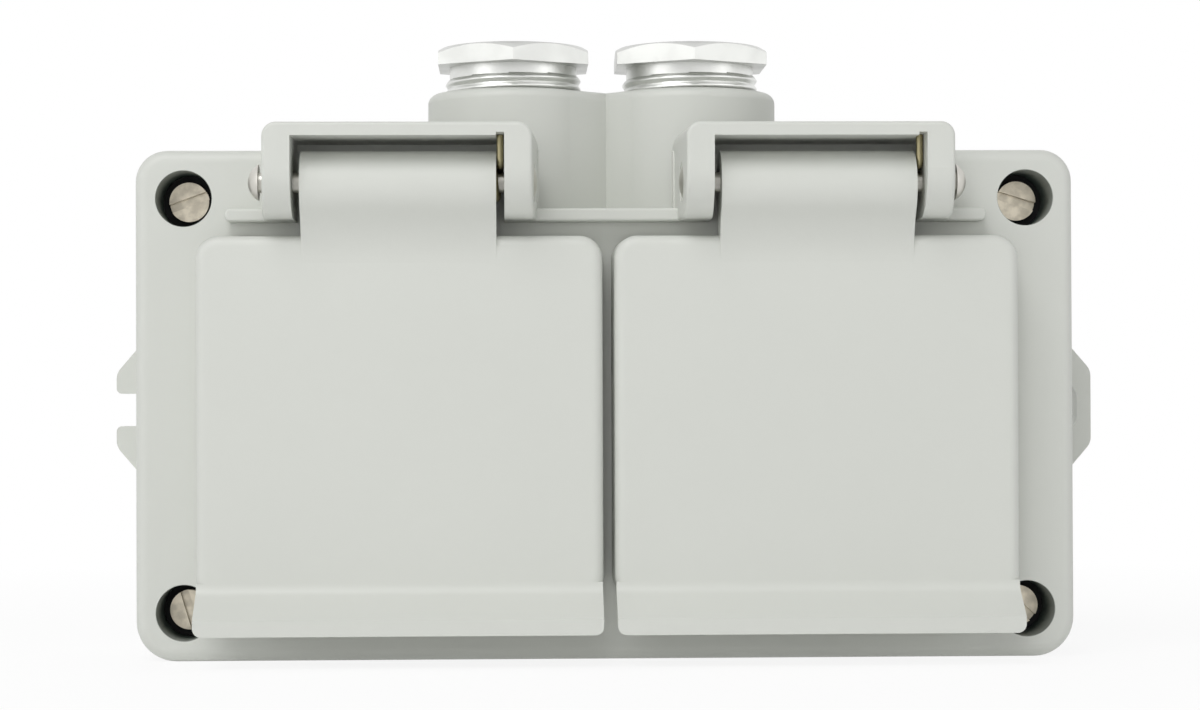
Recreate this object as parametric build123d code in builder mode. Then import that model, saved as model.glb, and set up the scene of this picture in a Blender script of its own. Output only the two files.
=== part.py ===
from build123d import *
from math import asin, atan2, cos, degrees, hypot, radians, sin, tan
import os

os.makedirs("parts", exist_ok=True)

# A double surface-mounted outdoor socket with two sprung lids, in millimetres.
# The wall is the plane Y = 0, the front faces -Y and Z is up.
# The origin is the centre of the flat back, and a depth is a distance out from the wall.

# Body outline
body_width = 164.0
body_height = 89.0
top_corner_radius = 5.5
bottom_corner_radius = 7.0

# Rear housing
box_depth = 30.0
box_wall = 3.2
box_floor = 3.0
back_relief = 1.2
back_land = 9.0
back_web = 24.0

# Front cover
cover_depth = 16.0
cover_wall = 3.0
cover_edge_radius = 2.2
seam_gap = 0.3
rim_lip = 1.0

# Rim gasket
gasket_thickness = 1.5
gasket_width = 1.6
gasket_play = 0.2

# Corner screws
screw_inset = 8.5
screw_radius = 2.0
screw_head_radius = 3.5
screw_head_height = 2.6
screw_slot_width = 1.2
cover_slot_width = 1.5
screw_slot_depth = 1.2
screw_slot_overrun = 1.0
screw_reach = 18.0
screw_seat = 2.0
screw_well_radius = 4.9
screw_pillar_radius = 6.4
screw_spigot_radius = 5.0
screw_seal_height = 0.8
screw_slot_angles = (-73.0, 20.0, -41.0, -17.0)
thread_play = 0.05

# Cable glands, standard M25 screws across 27 mm flats
gland_pitch = 32.2
gland_depth = 23.0
gland_boss_radius = 15.5
gland_boss_height = 22.4
gland_boss_round = 1.8
gland_web_depth = 9.0
gland_web_round = 0.7
gland_thread_radius = 12.5
gland_neck_radius = 11.55
gland_cable_radius = 9.0
gland_flats = 27.0
gland_hex_gap = 4.8
gland_hex_height = 3.5
gland_neck_height = 1.4
gland_crown_radius = 13.1
gland_crown_slope = 30.0
gland_shoulder_rise = 4.3
gland_seal_height = 8.0
gland_seal_radius = 8.0
gland_washer_height = 1.2
gland_washer_play = 0.4
passage_radius = 7.5
passage_depth = 18.5

# Notch in the cover that shows the gland bosses
notch_half = 34.0
notch_front_half = 11.7
notch_play = 0.3

# Drip ledge
ledge_half = 66.1
ledge_height = 2.3
ledge_gap = 2.6
ledge_reach = 4.0
ledge_end_round = 1.1
ledge_edge_radius = 0.5

# Lids
lid_pitch = 71.44
lid_spacing = 1.54
lid_rise = 33.6
lid_fall = 29.1
lid_gap = 0.5
lid_wall = 2.5
lid_corner_radius = 4.2
lid_foot_radius = 2.1
lid_edge_radius = 1.8
lid_inner_radius = 1.0
lid_draft = 1.5

# Finger lip along the foot of each lid
lip_rise = 3.3
lip_fall = 2.5
lip_rim_height = 2.8
lip_reach = 6.4
lip_bend_radius = 2.5
lip_inset = 0.4
lip_corner_radius = 1.5
lip_rim_thickness = 2.5

# Hinge
hinge_setback = 0.5
hinge_rise = 3.9
pin_radius = 1.75
pin_play = 0.05
pin_head_radius = 3.1
pin_head_height = 1.85
pin_head_gap = 0.8
pin_tail_radius = 2.7
pin_tail_height = 0.6
roll_radius = 6.2
roll_back = 0.6
roll_drop = 0.8
tongue_gap = 1.4
tongue_overlap = 4.9
tongue_back_slope = 215.0

# Lid springs
spring_wire = 1.2
spring_coil_radius = 2.7
spring_length = 12.0
spring_tang = 3.0
spring_pocket_radius = 3.8
spring_leg_reach = 3.0
spring_notch = 0.5

# Hinge brackets
bracket_width = 47.9
bracket_front_width = 45.4
bracket_reach = 8.0
bracket_rise = 9.7
bracket_corner_radius = 2.4
bracket_bar = 2.3
bracket_opening = 36.0
bracket_round = 8.0
bracket_edge_radius = 0.6
bracket_roof_step = 1.5
bracket_roof_sink = 1.5
pin_seat_sink = 0.95
pin_seat_play = 0.3

# Wall lugs
lug_open_reach = 8.7
lug_closed_reach = 11.2
lug_flank_angle = 49.5
lug_tip_half = 6.9
lug_thickness = 5.0
lug_height = -0.7
lug_corner_radius = 3.0
lug_mouth_radius = 1.0
lug_slot_width = 6.1
lug_slot_inset = 5.5
lug_slot_length = 9.5

# Socket inserts, with the standard 39 mm recess, 17.5 mm deep, and pins 19 mm apart
socket_height = -4.5
recess_radius = 19.5
recess_length = 17.5
cup_radius = 22.2
cup_proud = 4.0
cup_floor = 3.0
cup_play = 0.3
cup_edge_radius = 0.8
collar_wall = 3.0
collar_step = 0.5
pin_pitch = 19.0
pin_hole_radius = 3.0
guide_width = 4.6
guide_height = 2.2
guide_setback = 3.0

# Lid gaskets
lid_gasket_height = 3.7
lid_gasket_play = 0.3
lid_gasket_overlap = 0.5

# Terminal blocks
block_width = 40.0
block_height = 36.0
block_depth = 16.5
block_corner_radius = 3.0
ear_offset_x = 14.0
ear_radius = 4.5
ear_step = 7.0
ear_thickness = 3.0
block_screw_radius = 1.75
block_screw_head = 3.3
block_screw_head_height = 2.2
block_screw_reach = 10.0
block_screw_turn = 35.0
cup_screw_turn = 20.0
part_play = 0.1

# Contacts and their terminals
sleeve_bore = 2.5
sleeve_wall = 1.3
sleeve_setback = 2.0
sleeve_front_gap = 0.2
contact_arm_width = 6.0
contact_arm_thickness = 3.0
terminal_width = 7.7
terminal_height = 9.0
terminal_depth = 8.0
terminal_screw_radius = 1.7
terminal_screw_head = 3.2
terminal_screw_head_height = 2.0

# Earth clips
clip_width = 6.0
clip_thickness = 0.8
clip_setback = 4.5
clip_crown_length = 4.0
clip_crown = 1.6
clip_bend_rise = 2.0

# Earth terminal on the housing floor
earth_height = -22.0
earth_post_radius = 5.0
earth_post_depth = 10.0
earth_washer_radius = 4.6
earth_washer_thickness = 1.0
earth_screw_head = 3.8
earth_screw_turn = 60.0

# Depths worked out from the sizes above
cover_back_depth = box_depth + gasket_thickness
cover_face_depth = box_depth + cover_depth
cover_inner_depth = cover_face_depth - cover_wall
screw_seat_depth = cover_back_depth + screw_seat
screw_head_depth = screw_seat_depth + screw_seal_height
cup_front_depth = cover_face_depth + cup_proud
collar_depth = cup_front_depth + collar_step
recess_floor_depth = cup_front_depth - recess_length
cup_back_depth = recess_floor_depth - cup_floor
block_back_depth = cup_back_depth - block_depth
ear_depth = block_back_depth + ear_step
sleeve_back_depth = block_back_depth + sleeve_setback
clip_front_depth = cup_front_depth - clip_setback
clip_crown_depth = clip_front_depth - clip_crown_length
clip_bend_depth = recess_floor_depth + clip_bend_rise
lid_back_depth = cover_face_depth + lid_gap
lid_inner_depth = collar_depth + lid_gasket_play + lid_gasket_height
lid_face_depth = lid_inner_depth + lid_wall
lip_depth = lid_face_depth + lip_reach
hinge_depth = lid_face_depth - hinge_setback
bracket_front_depth = hinge_depth + bracket_reach
bracket_roof_start = cover_face_depth + bracket_roof_step
bracket_roof_foot = cover_inner_depth - bracket_roof_sink

# Heights worked out from the sizes above
body_top = body_height / 2
lid_top = socket_height + lid_rise
lid_skirt_foot = socket_height - lid_fall
lid_mid = (lid_top + lid_skirt_foot) / 2
lid_height = lid_top - lid_skirt_foot
lip_start = lid_skirt_foot + lip_rise
lip_rim_top = lid_skirt_foot - lip_fall
lip_foot = lip_rim_top - lip_rim_height
tongue_foot = lid_top - tongue_overlap
ledge_foot = lid_top + ledge_gap
notch_floor = ledge_foot + ledge_height
hinge_height = notch_floor + hinge_rise
bracket_top = hinge_height + bracket_rise
gland_boss_top = notch_floor + gland_boss_height
gland_shoulder = notch_floor + gland_shoulder_rise
gland_seal_top = gland_shoulder + gland_seal_height
gland_screw_foot = gland_seal_top + gland_washer_height
gland_hex_foot = gland_boss_top + gland_hex_gap
gland_hex_top = gland_hex_foot + gland_hex_height

# Widths and spacings worked out from the sizes above
screw_pitch_x = body_width - 2 * screw_inset
screw_pitch_z = body_height - 2 * screw_inset
lid_width = lid_pitch - lid_spacing
tongue_width = bracket_opening - 2 * tongue_gap
pin_seat_half = bracket_width / 2 - pin_seat_sink
collar_bore = cup_radius + cup_play
collar_radius = collar_bore + collar_wall
clip_half = block_height / 2 + part_play + clip_thickness / 2
ear_offset_z = block_height / 2 + part_play + ear_radius
sides = {"left": -1, "right": 1}


def side_plane(x):
    """Plane across the object at x, drawn in depth and height, facing -X."""
    return Plane(origin=(x, 0, 0), x_dir=(0, -1, 0), z_dir=(-1, 0, 0))


def depth_plane(depth):
    """Plane parallel to the wall, drawn in X and Z, facing the front."""
    return Plane.XZ.offset(depth)


def body_outline(inset):
    """Draw the whole rounded outline of the body, pulled in all round."""
    Rectangle(body_width - 2 * inset, body_height - 2 * inset)
    fillet(vertices().group_by(Axis.Y)[-1], top_corner_radius - inset)
    fillet(vertices().group_by(Axis.Y)[0], bottom_corner_radius - inset)


def notched_outline(inset, floor):
    """Draw the outline with the gland notch taken out of its top edge."""
    body_outline(inset)
    with Locations((0, floor - inset)):
        Rectangle(
            2 * (notch_half + inset), body_height,
            align=(Align.CENTER, Align.MIN), mode=Mode.SUBTRACT,
        )


# Rear housing, a cast box with gland bosses on top and a lug at each side
with BuildPart() as rear_housing:
    with BuildSketch(depth_plane(0)):
        body_outline(0)
    extrude(amount=box_depth)

    # Gland bosses, with a groove down between them to the web that joins them
    with BuildSketch(Plane.XY.offset(notch_floor + notch_play)):
        with Locations((0, -gland_depth - gland_web_depth / 2)):
            Rectangle(gland_pitch, box_depth, align=(Align.CENTER, Align.MAX))
    extrude(amount=gland_boss_top - notch_floor - notch_play, mode=Mode.SUBTRACT)
    with BuildSketch(Plane.XY.offset(notch_floor + notch_play)) as boss_outline:
        with Locations((0, -gland_depth)):
            with GridLocations(gland_pitch, 0, 2, 1):
                Circle(gland_boss_radius)
            Rectangle(gland_pitch, gland_web_depth)
        web_corners = boss_outline.vertices().filter_by_position(
            Axis.X, -gland_web_depth, gland_web_depth
        )
        fillet(web_corners, gland_web_round)
    extrude(amount=gland_boss_top - notch_floor - notch_play)
    fillet(rear_housing.faces().sort_by(Axis.Z)[-1].edges(), gland_boss_round)

    # Hollow of the box, with the pillars and posts that stand in it
    with BuildSketch(depth_plane(box_floor)):
        notched_outline(box_wall, notch_floor + notch_play)
    extrude(amount=box_depth - box_floor, mode=Mode.SUBTRACT)
    with BuildSketch(depth_plane(box_floor)):
        with GridLocations(screw_pitch_x, screw_pitch_z, 2, 2):
            Circle(screw_pillar_radius)
    extrude(amount=box_depth - box_floor)
    with BuildSketch(depth_plane(box_depth)):
        with GridLocations(screw_pitch_x, screw_pitch_z, 2, 2):
            Circle(screw_spigot_radius)
    extrude(amount=gasket_thickness)
    with BuildSketch(depth_plane(box_floor)):
        with Locations((0, socket_height)):
            with GridLocations(lid_pitch, 0, 2, 1):
                with Locations((ear_offset_x, ear_offset_z), (-ear_offset_x, -ear_offset_z)):
                    Circle(ear_radius)
    extrude(amount=ear_depth - box_floor)
    with BuildSketch(depth_plane(box_floor)):
        with Locations((0, earth_height)):
            Circle(earth_post_radius)
    extrude(amount=earth_post_depth - box_floor)

    # Threaded holes in the pillars and posts
    with BuildSketch(depth_plane(cover_back_depth)):
        with GridLocations(screw_pitch_x, screw_pitch_z, 2, 2):
            Circle(screw_radius + thread_play)
    extrude(amount=-(screw_reach + thread_play), mode=Mode.SUBTRACT)
    with BuildSketch(depth_plane(ear_depth)):
        with Locations((0, socket_height)):
            with GridLocations(lid_pitch, 0, 2, 1):
                with Locations((ear_offset_x, ear_offset_z), (-ear_offset_x, -ear_offset_z)):
                    Circle(block_screw_radius + thread_play)
    extrude(amount=-block_screw_reach, mode=Mode.SUBTRACT)
    with BuildSketch(depth_plane(earth_post_depth)):
        with Locations((0, earth_height)):
            Circle(screw_radius + thread_play)
    extrude(amount=box_floor - earth_post_depth, mode=Mode.SUBTRACT)

    # Gland bores, and the passages from them into the box
    with BuildSketch(Plane.XY.offset(gland_boss_top)):
        with Locations((0, -gland_depth)):
            with GridLocations(gland_pitch, 0, 2, 1):
                Circle(gland_thread_radius)
    extrude(amount=gland_shoulder - gland_boss_top, mode=Mode.SUBTRACT)
    with BuildSketch(Plane.XY.offset(gland_shoulder)):
        with Locations((0, -passage_depth)):
            with GridLocations(gland_pitch, 0, 2, 1):
                Circle(passage_radius)
    extrude(amount=notch_floor - box_wall - gland_shoulder, mode=Mode.SUBTRACT)

    # Wall lugs, the left one with an open slot and the right one with an upright slot
    for sign, reach in ((-1, lug_open_reach), (1, lug_closed_reach)):
        lug_base_half = lug_tip_half + reach * tan(radians(lug_flank_angle))
        with BuildSketch(depth_plane(0)) as lug:
            with BuildLine():
                Polyline(
                    (sign * (body_width / 2 - box_wall), lug_height + lug_base_half),
                    (sign * body_width / 2, lug_height + lug_base_half),
                    (sign * (body_width / 2 + reach), lug_height + lug_tip_half),
                    (sign * (body_width / 2 + reach), lug_height - lug_tip_half),
                    (sign * body_width / 2, lug_height - lug_base_half),
                    (sign * (body_width / 2 - box_wall), lug_height - lug_base_half),
                    close=True,
                )
            make_face()
            fillet(lug.vertices().group_by(Axis.X)[-1 if sign > 0 else 0], lug_corner_radius)
            with Locations((sign * (body_width / 2 + lug_slot_inset), lug_height)):
                if sign > 0:
                    SlotOverall(lug_slot_length, lug_slot_width, rotation=90, mode=Mode.SUBTRACT)
                else:
                    Circle(lug_slot_width / 2, mode=Mode.SUBTRACT)
                    Rectangle(
                        reach, lug_slot_width,
                        align=(Align.MAX, Align.CENTER), mode=Mode.SUBTRACT,
                    )
            if sign < 0:
                mouth = (-body_width / 2 - reach, lug_height, 0)
                fillet(lug.vertices().sort_by_distance(mouth)[:2], lug_mouth_radius)
        extrude(amount=lug_thickness)

    # Shallow reliefs in the back, either side of a flat middle land
    with BuildSketch(depth_plane(0)):
        with GridLocations((body_width + back_web) / 2 - back_land, 0, 2, 1):
            RectangleRounded(
                (body_width - back_web) / 2 - back_land,
                body_height - 2 * back_land,
                bottom_corner_radius,
            )
    extrude(amount=back_relief, mode=Mode.SUBTRACT)
rear_housing.part.label = "rear_housing"
export_step(rear_housing.part, "parts/rear_housing.step")

# Hinge bracket, an arch of two drafted legs under a hood bar
with BuildPart() as bracket:
    for depth, width in (
        (bracket_roof_foot, bracket_width), (bracket_front_depth, bracket_front_width)
    ):
        with BuildSketch(depth_plane(depth)) as section:
            with Locations((0, bracket_top)):
                Rectangle(width, bracket_top - ledge_foot, align=(Align.CENTER, Align.MAX))
            fillet(section.vertices().group_by(Axis.Y)[-1], bracket_corner_radius)
    loft(ruled=True)
    with BuildSketch(side_plane(0)):
        with BuildLine():
            foot = Line(
                (bracket_roof_foot, ledge_foot), (bracket_front_depth - bracket_round, ledge_foot)
            )
            toe = JernArc(foot @ 1, (1, 0), bracket_round, 90)
            Polyline(
                toe @ 1,
                (bracket_front_depth, bracket_top),
                (bracket_roof_start, bracket_top),
                (bracket_roof_foot, body_top),
                foot @ 0,
            )
        make_face()
    extrude(amount=bracket_width, both=True, mode=Mode.INTERSECT)
    front = bracket.faces().sort_by(Axis.Y)[0]
    fillet(front.edges().sort_by(Axis.Z)[1:], bracket_edge_radius)

# Front cover, a cast tray with two socket collars, the drip ledge and the hinge brackets
with BuildPart() as front_cover:
    with BuildSketch(depth_plane(box_depth + seam_gap)):
        body_outline(0)
    extrude(amount=cover_face_depth - box_depth - seam_gap)
    fillet(front_cover.faces().sort_by(Axis.Y)[0].edges(), cover_edge_radius)

    # Hollow behind the face, the step that takes the rim gasket, and the screw pillars
    with BuildSketch(depth_plane(box_depth + seam_gap)):
        notched_outline(rim_lip, notch_floor)
    extrude(amount=gasket_thickness - seam_gap, mode=Mode.SUBTRACT)
    with BuildSketch(depth_plane(cover_back_depth)):
        notched_outline(cover_wall, notch_floor)
    extrude(amount=cover_inner_depth - cover_back_depth, mode=Mode.SUBTRACT)
    with BuildSketch(depth_plane(cover_back_depth)):
        with GridLocations(screw_pitch_x, screw_pitch_z, 2, 2):
            Circle(screw_pillar_radius)
    extrude(amount=cover_inner_depth - cover_back_depth)

    # Notch for the gland bosses, narrower through the face than behind it
    with BuildSketch(depth_plane(box_depth)):
        with Locations((0, notch_floor)):
            Rectangle(2 * notch_half, body_height, align=(Align.CENTER, Align.MIN))
    extrude(amount=cover_inner_depth - box_depth, mode=Mode.SUBTRACT)
    with BuildSketch(depth_plane(cover_inner_depth)):
        with Locations((0, notch_floor)):
            Rectangle(2 * notch_front_half, body_height, align=(Align.CENTER, Align.MIN))
    extrude(amount=cover_wall, mode=Mode.SUBTRACT)

    # Drip ledge and hinge brackets
    with BuildSketch(depth_plane(cover_inner_depth)):
        with Locations((0, ledge_foot)):
            RectangleRounded(
                2 * ledge_half, ledge_height, ledge_end_round, align=(Align.CENTER, Align.MIN)
            )
    extrude(amount=cover_wall + ledge_reach)
    fillet(front_cover.faces().sort_by(Axis.Y)[0].edges(), ledge_edge_radius)
    with GridLocations(lid_pitch, 0, 2, 1):
        add(bracket.part)
    with BuildSketch(depth_plane(cover_face_depth)):
        with GridLocations(lid_pitch, 0, 2, 1):
            with Locations((0, bracket_top - bracket_bar)):
                Rectangle(bracket_opening, bracket_top, align=(Align.CENTER, Align.MAX))
    extrude(amount=bracket_front_depth - cover_face_depth, mode=Mode.SUBTRACT)

    # Notches in the hood bars that hold the spring legs
    with BuildSketch(depth_plane(hinge_depth + spring_leg_reach - spring_wire / 2 - part_play)):
        with GridLocations(lid_pitch, 0, 2, 1):
            with Locations((bracket_opening / 2, bracket_top - bracket_bar)):
                Rectangle(tongue_gap, spring_notch, align=(Align.MAX, Align.MIN))
    extrude(amount=bracket_reach, mode=Mode.SUBTRACT)

    # Socket collars
    with BuildSketch(depth_plane(cover_inner_depth)):
        with Locations((0, socket_height)):
            with GridLocations(lid_pitch, 0, 2, 1):
                Circle(collar_radius)
    extrude(amount=collar_depth - cover_inner_depth)
    with BuildSketch(depth_plane(cover_inner_depth)):
        with Locations((0, socket_height)):
            with GridLocations(lid_pitch, 0, 2, 1):
                Circle(collar_bore)
    extrude(amount=collar_depth - cover_inner_depth, mode=Mode.SUBTRACT)

    # Screw wells in the corners
    with BuildSketch(depth_plane(screw_seat_depth)):
        with GridLocations(screw_pitch_x, screw_pitch_z, 2, 2):
            Circle(screw_well_radius)
    extrude(amount=cover_face_depth - screw_seat_depth, mode=Mode.SUBTRACT)
    with BuildSketch(depth_plane(cover_back_depth)):
        with GridLocations(screw_pitch_x, screw_pitch_z, 2, 2):
            Circle(screw_radius + part_play)
    extrude(amount=screw_seat, mode=Mode.SUBTRACT)

    # Hinge pin holes and the flats under the pin heads
    with BuildSketch(side_plane(0)):
        with Locations((hinge_depth, hinge_height)):
            Circle(pin_radius + pin_play)
    extrude(amount=body_width / 2, both=True, mode=Mode.SUBTRACT)
    for sign in sides.values():
        for hand in sides.values():
            with BuildSketch(side_plane(sign * lid_pitch / 2 + hand * pin_seat_half)):
                with Locations((hinge_depth, hinge_height)):
                    Circle(pin_head_radius + pin_seat_play)
            extrude(amount=-hand * pin_head_height, mode=Mode.SUBTRACT)
front_cover.part.label = "front_cover"
export_step(front_cover.part, "parts/front_cover.step")

# Rim gasket between the box and the cover
with BuildPart() as cover_gasket:
    with BuildSketch(depth_plane(box_depth)):
        notched_outline(rim_lip + gasket_play, notch_floor)
    extrude(amount=gasket_thickness)
    with BuildSketch(depth_plane(box_depth)):
        notched_outline(rim_lip + gasket_play + gasket_width, notch_floor)
    extrude(amount=gasket_thickness, mode=Mode.SUBTRACT)
cover_gasket.part.label = "cover_gasket"
export_step(cover_gasket.part, "parts/cover_gasket.step")

# Screw seals, rubber rings under the heads of the cover screws
with BuildPart() as screw_seals:
    with BuildSketch(depth_plane(screw_seat_depth)):
        with GridLocations(screw_pitch_x, screw_pitch_z, 2, 2):
            Circle(screw_well_radius - part_play)
            Circle(screw_radius + part_play, mode=Mode.SUBTRACT)
    extrude(amount=screw_seal_height)
screw_seals.part.label = "screw_seals"
export_step(screw_seals.part, "parts/screw_seals.step")

# Cover screws, four slotted cheese heads as they were left when tightened
with BuildPart() as cover_screws:
    with BuildSketch(depth_plane(screw_head_depth)):
        with GridLocations(screw_pitch_x, screw_pitch_z, 2, 2):
            Circle(screw_head_radius)
    extrude(amount=screw_head_height)
    with BuildSketch(depth_plane(screw_head_depth)):
        with GridLocations(screw_pitch_x, screw_pitch_z, 2, 2):
            Circle(screw_radius)
    extrude(amount=cover_back_depth - screw_reach - screw_head_depth)
    with BuildSketch(depth_plane(screw_head_depth + screw_head_height)):
        corners = GridLocations(screw_pitch_x, screw_pitch_z, 2, 2).locations
        for corner, angle in zip(corners, screw_slot_angles):
            with Locations(corner):
                Rectangle(
                    2 * (screw_head_radius + screw_slot_overrun), cover_slot_width, rotation=angle
                )
    extrude(amount=-screw_slot_depth, mode=Mode.SUBTRACT)
cover_screws.part.label = "cover_screws"
export_step(cover_screws.part, "parts/cover_screws.step")

for side, sign in sides.items():
    lid_x = sign * lid_pitch / 2
    gland_x = sign * gland_pitch / 2
    gland_spot = (gland_x, -gland_depth)

    # Gland screw, a hollow hexagon head on a neck and a threaded shank
    with BuildPart() as gland_screw:
        with BuildSketch(Plane.XY.offset(gland_hex_foot)):
            with Locations(gland_spot):
                RegularPolygon(gland_flats / 2, 6, major_radius=False, rotation=30)
        extrude(amount=gland_hex_height)
        crown_spread = gland_hex_height / tan(radians(gland_crown_slope))
        with Locations((gland_x, -gland_depth, gland_hex_foot)):
            Cone(
                gland_crown_radius + crown_spread, gland_crown_radius, gland_hex_height,
                align=(Align.CENTER, Align.CENTER, Align.MIN), mode=Mode.INTERSECT,
            )
        with BuildSketch(Plane.XY.offset(gland_hex_foot)):
            with Locations(gland_spot):
                Circle(gland_neck_radius)
        extrude(amount=-gland_neck_height)
        with BuildSketch(Plane.XY.offset(gland_hex_foot - gland_neck_height)):
            with Locations(gland_spot):
                Circle(gland_thread_radius - thread_play)
        extrude(amount=gland_screw_foot - gland_hex_foot + gland_neck_height)
        with BuildSketch(Plane.XY.offset(gland_hex_top)):
            with Locations(gland_spot):
                Circle(gland_cable_radius)
        extrude(amount=gland_screw_foot - gland_hex_top, mode=Mode.SUBTRACT)
    gland_screw.part.label = f"gland_screw_{side}"
    export_step(gland_screw.part, f"parts/gland_screw_{side}.step")

    # Gland washer, which the screw presses on the seal
    with BuildPart() as gland_washer:
        with BuildSketch(Plane.XY.offset(gland_seal_top)):
            with Locations(gland_spot):
                Circle(gland_thread_radius - part_play)
                Circle(gland_cable_radius + gland_washer_play, mode=Mode.SUBTRACT)
        extrude(amount=gland_washer_height)
    gland_washer.part.label = f"gland_washer_{side}"
    export_step(gland_washer.part, f"parts/gland_washer_{side}.step")

    # Gland seal, a rubber bush on the shoulder of the boss
    with BuildPart() as gland_seal:
        with BuildSketch(Plane.XY.offset(gland_shoulder)):
            with Locations(gland_spot):
                Circle(gland_thread_radius - part_play)
                Circle(gland_seal_radius, mode=Mode.SUBTRACT)
        extrude(amount=gland_seal_height)
    gland_seal.part.label = f"gland_seal_{side}"
    export_step(gland_seal.part, f"parts/gland_seal_{side}.step")

    # Lid, a shallow cap with a flared finger lip and a rolled hinge tongue
    roll_depth = hinge_depth - roll_back
    roll_height = hinge_height - roll_drop
    tongue_turn = 2 * atan2(roll_depth + roll_radius - lid_face_depth, roll_height - tongue_foot)
    tongue_sweep = (roll_height - tongue_foot) / sin(tongue_turn) - roll_radius
    lip_out = lip_depth - lid_face_depth - lip_bend_radius
    lip_drop = lip_start - lip_rim_top
    lip_turn = atan2(lip_out, lip_drop) + asin(lip_bend_radius / hypot(lip_out, lip_drop))
    lip_run = (sin(lip_turn), -cos(lip_turn))
    with BuildPart() as lid:
        with BuildSketch(depth_plane(lid_back_depth)) as lid_outline:
            with Locations((lid_x, lid_mid)):
                Rectangle(lid_width, lid_height)
            corners = lid_outline.vertices().group_by(Axis.Z)
            fillet(corners[-1], lid_corner_radius)
            fillet(corners[0], lid_foot_radius)
        extrude(amount=lid_face_depth - lid_back_depth, taper=lid_draft)
        fillet(lid.faces().sort_by(Axis.Y)[0].edges(), lid_edge_radius)

        # Finger lip, which flares out of the face and ends in an upright rim
        with BuildSketch(side_plane(lid_x)):
            with BuildLine():
                flare = JernArc(
                    (lid_face_depth, lip_start), (0, -1), lip_bend_radius, degrees(lip_turn)
                )
                under = JernArc(
                    (lid_inner_depth, lip_start), (0, -1), lip_bend_radius + lid_wall,
                    degrees(lip_turn),
                )
                rim_back = lip_depth - lip_rim_thickness
                under_run = (rim_back - (under @ 1).X) / lip_run[0]
                Polyline(
                    flare @ 1,
                    (lip_depth, lip_rim_top),
                    (lip_depth, lip_foot),
                    (rim_back, lip_foot),
                    (rim_back, (under @ 1).Y + under_run * lip_run[1]),
                    under @ 1,
                )
                Line(flare @ 0, under @ 0)
            make_face()
        extrude(amount=lid_width / 2 - lip_inset, both=True)
        fillet(lid.edges().filter_by(Axis.Y).group_by(Axis.Z)[0], lip_corner_radius)

        # Hinge tongue, a roll round the pin that sweeps down into the face
        with BuildSketch(side_plane(lid_x)):
            with BuildLine():
                sweep_in = JernArc(
                    (lid_face_depth, tongue_foot), (0, 1), tongue_sweep, -degrees(tongue_turn)
                )
                slope = radians(tongue_back_slope)
                Polyline(
                    sweep_in @ 1,
                    (roll_depth, roll_height),
                    (roll_depth + roll_radius * cos(slope), roll_height + roll_radius * sin(slope)),
                    (lid_inner_depth - lid_wall / 2, lid_top - lid_wall),
                    (lid_inner_depth, tongue_foot),
                    sweep_in @ 0,
                )
            make_face()
            with Locations((roll_depth, roll_height)):
                Circle(roll_radius)
        extrude(amount=tongue_width / 2, both=True)

        # Hollow of the cap
        with BuildSketch(depth_plane(lid_back_depth)):
            with Locations((lid_x, lid_mid)):
                RectangleRounded(
                    lid_width - 2 * lid_wall, lid_height - 2 * lid_wall, lid_inner_radius
                )
        extrude(amount=lid_inner_depth - lid_back_depth, taper=lid_draft, mode=Mode.SUBTRACT)

        # Pin bore, and the pocket and hole that take the spring
        with BuildSketch(side_plane(lid_x)):
            with Locations((hinge_depth, hinge_height)):
                Circle(pin_radius + pin_play)
        extrude(amount=tongue_width, both=True, mode=Mode.SUBTRACT)
        with BuildSketch(side_plane(lid_x + tongue_width / 2)):
            with Locations((hinge_depth, hinge_height)):
                Circle(spring_pocket_radius)
        extrude(amount=spring_length, mode=Mode.SUBTRACT)
        with BuildSketch(side_plane(lid_x + tongue_width / 2 - spring_length)):
            with Locations((hinge_depth, hinge_height - spring_coil_radius)):
                Circle(spring_wire / 2 + part_play)
        extrude(amount=spring_tang, mode=Mode.SUBTRACT)
    lid.part.label = f"lid_{side}"
    export_step(lid.part, f"parts/lid_{side}.step")

    # Lid gasket, a rubber ring inside the lid that closes on the socket collar
    with BuildPart() as lid_gasket:
        with BuildSketch(depth_plane(lid_inner_depth)):
            with Locations((lid_x, socket_height)):
                Circle(collar_radius + lid_gasket_overlap)
                Circle(collar_bore - lid_gasket_overlap, mode=Mode.SUBTRACT)
        extrude(amount=collar_depth + lid_gasket_play - lid_inner_depth)
    lid_gasket.part.label = f"lid_gasket_{side}"
    export_step(lid_gasket.part, f"parts/lid_gasket_{side}.step")

    # Hinge pin, with a round head outside and its tail hammered over at the inner end
    with BuildPart() as hinge_pin:
        with BuildSketch(side_plane(lid_x + sign * (pin_seat_half + pin_head_gap))):
            with Locations((hinge_depth, hinge_height)):
                Circle(pin_radius)
        extrude(amount=sign * (2 * pin_seat_half + pin_head_gap))
        head_mid = Plane(origin=(lid_x, -hinge_depth, hinge_height))
        for hand, seat, radius, height in (
            (sign, pin_seat_half + pin_head_gap, pin_head_radius, pin_head_height),
            (-sign, pin_seat_half, pin_tail_radius, pin_tail_height),
        ):
            with BuildSketch(head_mid):
                with BuildLine():
                    rim = (hand * seat, radius)
                    crown = (hand * (seat + height), 0)
                    RadiusArc(rim, crown, hand * (radius**2 + height**2) / (2 * height))
                    Polyline(crown, (hand * seat, 0), rim)
                make_face()
            revolve(axis=Axis(head_mid.origin, (1, 0, 0)))
    hinge_pin.part.label = f"hinge_pin_{side}"
    export_step(hinge_pin.part, f"parts/hinge_pin_{side}.step")

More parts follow.
